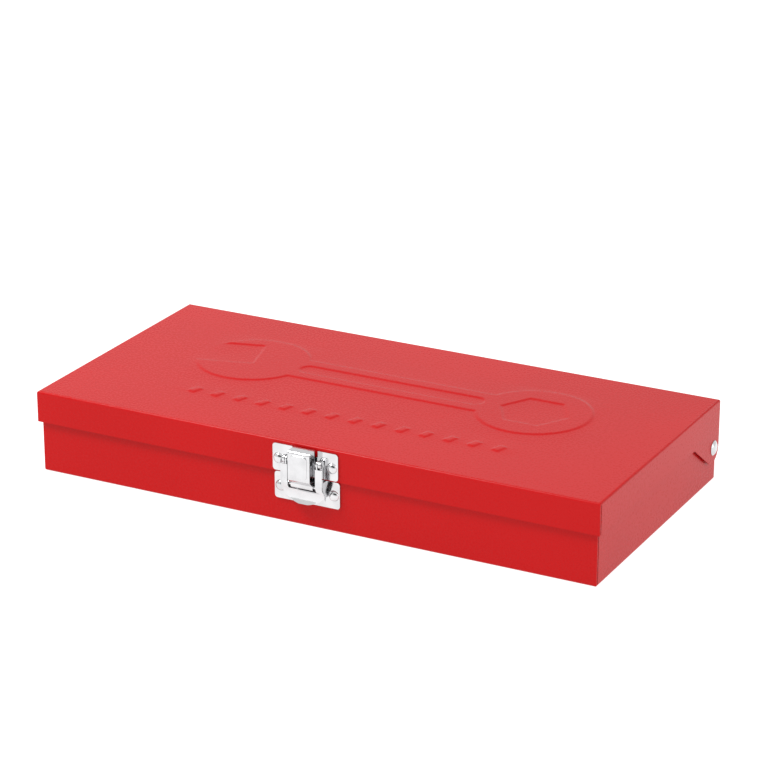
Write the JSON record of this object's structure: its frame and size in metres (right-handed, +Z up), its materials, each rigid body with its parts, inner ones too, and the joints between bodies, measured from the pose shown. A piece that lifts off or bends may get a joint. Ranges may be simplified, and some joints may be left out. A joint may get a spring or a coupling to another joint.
{
  "type": "socket wrench set in case",
  "caption": "Socket wrench set in a flat hinged sheet-metal case: drive sockets in a rack, ratchet, sliding T-handle and extension bars under a lid closed by a draw latch.",
  "frame": {"origin": "middle of the case's footprint under the lid, on the surface that the case stands on", "axes": "+X to the right along the front, +Y to the hinged back, +Z up"},
  "size_m": [0.3836, 0.1921, 0.0541],
  "materials": {
    "red_enamel": "red powder coat, soft gloss",
    "nickel_plate": "bright nickel plate",
    "rack_paint": "black enamel, satin",
    "tool_chrome": "satin chrome plate",
    "dark_steel": "blackened steel",
    "polished_ball": "polished",
    "rubber_grip": "matte"
  },
  "bodies": {
    "case": {"tray_shell": "red_enamel", "hinge_rivets": "nickel_plate", "hinge_washers": "nickel_plate", "latch_base_plate": "nickel_plate", "latch_base_rivets": "nickel_plate", "lever_pivots": "nickel_plate", "socket_rack": "rack_paint", "cradle_left": "rack_paint", "cradle_middle": "rack_paint", "cradle_inner": "rack_paint", "cradle_outer": "rack_paint", "socket_32": "tool_chrome", "socket_30": "tool_chrome", "socket_27": "tool_chrome", "socket_24": "tool_chrome", "socket_23": "tool_chrome", "socket_22": "tool_chrome", "socket_21": "tool_chrome", "socket_20": "tool_chrome", "socket_19": "tool_chrome", "socket_18": "tool_chrome", "socket_17": "tool_chrome", "socket_16": "tool_chrome", "socket_15": "tool_chrome", "socket_14": "tool_chrome", "socket_13": "tool_chrome", "socket_12": "tool_chrome", "socket_11": "tool_chrome", "socket_10": "tool_chrome", "extension_bar_long": "tool_chrome", "extension_bar_short": "tool_chrome", "extension_balls": "polished_ball", "spark_plug_socket": "tool_chrome", "plug_socket_insert": "rubber_grip", "drive_adapter": "tool_chrome", "ratchet_body": "tool_chrome", "ratchet_cover": "tool_chrome", "cover_screws": "dark_steel", "tbar_rod": "tool_chrome", "tbar_stops": "dark_steel"},
    "lid": {"lid_shell": "red_enamel", "strike_plate": "nickel_plate", "strike_rivets": "nickel_plate"},
    "lever": {"latch_lever": "nickel_plate", "hook_pin": "nickel_plate"},
    "hook": {"draw_hook": "nickel_plate"},
    "spindle": {"drive_spindle": "dark_steel", "spindle_ball": "polished_ball"},
    "reverser": {"reversing_lever": "tool_chrome", "ratchet_pawl": "dark_steel"},
    "slider": {"tbar_slider": "tool_chrome", "slider_ball": "polished_ball"}
  },
  "joints": [
    {"name": "lid_hinge", "type": "hinge", "parent": "case", "child": "lid", "pos_m": [0, 0.0831, 0.024], "axis": [-1, 0, 0], "range_deg": [0, 95]},
    {"name": "latch_lever_pivot", "type": "hinge", "parent": "case", "child": "lever", "pos_m": [0, -0.095, 0.044], "axis": [-1, 0, 0], "range_deg": [0, 90]},
    {"name": "hook_pivot", "type": "hinge", "parent": "lever", "child": "hook", "pos_m": [0, -0.0945, 0.0288], "axis": [1, 0, 0], "range_deg": [0, 90]},
    {"name": "drive_turn", "type": "hinge", "parent": "case", "child": "spindle", "pos_m": [-0.158, -0.0665, 0.02], "axis": [0, 0, 1], "continuous": true},
    {"name": "reverse_switch", "type": "hinge", "parent": "case", "child": "reverser", "pos_m": [-0.139, -0.0665, 0.03], "axis": [0, 0, 1], "range_deg": [-12, 12]},
    {"name": "slider_travel", "type": "slide", "parent": "case", "child": "slider", "axis": [1, 0, 0], "range_m": [-0.058, 0.058]}
  ],
  "couplings": [
    {"joint": "hook_pivot", "follows": "latch_lever_pivot", "ratio": 1}
  ]
}
